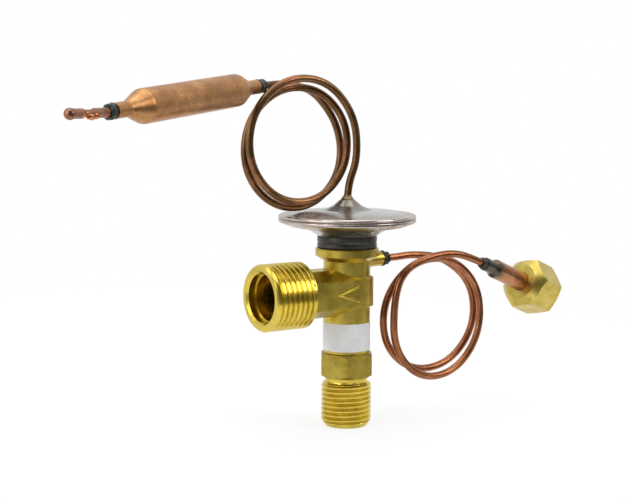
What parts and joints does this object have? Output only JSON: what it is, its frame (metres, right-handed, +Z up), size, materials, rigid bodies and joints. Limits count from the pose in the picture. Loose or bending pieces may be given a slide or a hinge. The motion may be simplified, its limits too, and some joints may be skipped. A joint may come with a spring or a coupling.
{
  "type": "thermostatic expansion valve",
  "caption": "Angle-pattern refrigerant expansion valve with a diaphragm head, coiled capillary and sensing bulb, and a coiled external equalizer line ending in a flare nut.",
  "frame": {"origin": "centre of the inlet end face, on the valve axis", "axes": "+Z up the valve axis to the diaphragm head, -X out of the outlet, +X to the equalizer connection"},
  "size_m": [0.1949, 0.0559, 0.1117],
  "materials": {
    "machined_brass": "turned, satin",
    "bright_brass": "turned",
    "stainless_head": "pressed, heat tinted",
    "stainless": "ground",
    "dark_collar": "blackened",
    "spring_steel": "drawn wire",
    "strainer_metal": "pierced sheet",
    "capillary_copper": "drawn, tarnished",
    "equalizer_copper": "drawn, tarnished",
    "bulb_copper": "drawn, mottled",
    "braze_metal": "brazing metal, sooty",
    "head_solder": "solder fillet",
    "label_paper": "plain label film",
    "seal_rubber": "moulded",
    "gasket_fibre": "fibre"
  },
  "bodies": {
    "valve": {"inlet_fitting": "bright_brass", "inlet_strainer": "strainer_metal", "superheat_spring": "spring_steel", "valve_seat": "stainless", "valve_body": "machined_brass", "rod_seal": "seal_rubber", "seal_retainer": "stainless", "head_gasket": "gasket_fibre", "head_collar": "dark_collar", "lower_case": "stainless_head", "diaphragm": "stainless", "upper_case": "stainless_head", "head_braze": "head_solder", "label_band": "label_paper", "capillary_tube": "capillary_copper", "bulb_braze": "braze_metal", "bulb_shell": "bulb_copper", "fill_braze": "braze_metal", "fill_tube": "bulb_copper", "equalizer_braze": "braze_metal", "equalizer_tube": "equalizer_copper", "stub_braze": "braze_metal", "equalizer_stub": "equalizer_copper"},
    "stem": {"push_rod": "stainless", "valve_ball": "stainless", "ball_carrier": "machined_brass", "thrust_plate": "stainless"},
    "spring_seat": {"spring_seat_washer": "stainless"},
    "adjuster": {"adjusting_nut": "machined_brass"},
    "nut": {"flare_nut": "bright_brass"}
  },
  "joints": [
    {"name": "stem_slide", "type": "slide", "parent": "valve", "child": "stem", "axis": [0, 0, -1], "range_m": [0, 0.0008], "stiffness_N_per_m": 6000, "springref_m": -0.0005, "deforming": ["superheat_spring"]},
    {"name": "seat_slide", "type": "slide", "parent": "valve", "child": "spring_seat", "axis": [0, 0, 1], "range_m": [-0.0015, 0.0015]},
    {"name": "adjuster_turn", "type": "hinge", "parent": "spring_seat", "child": "adjuster", "pos_m": [0, 0, 0.0189], "axis": [0, 0, 1], "range_deg": [-721, 721]},
    {"name": "nut_turn", "type": "hinge", "parent": "valve", "child": "nut", "pos_m": [0.07417, -0.00523, 0.03989], "axis": [0.9175, 0.1618, -0.3633], "continuous": true}
  ],
  "couplings": [
    {"joint": "adjuster_turn", "follows": "seat_slide", "rad_per_m": 8377.6}
  ]
}
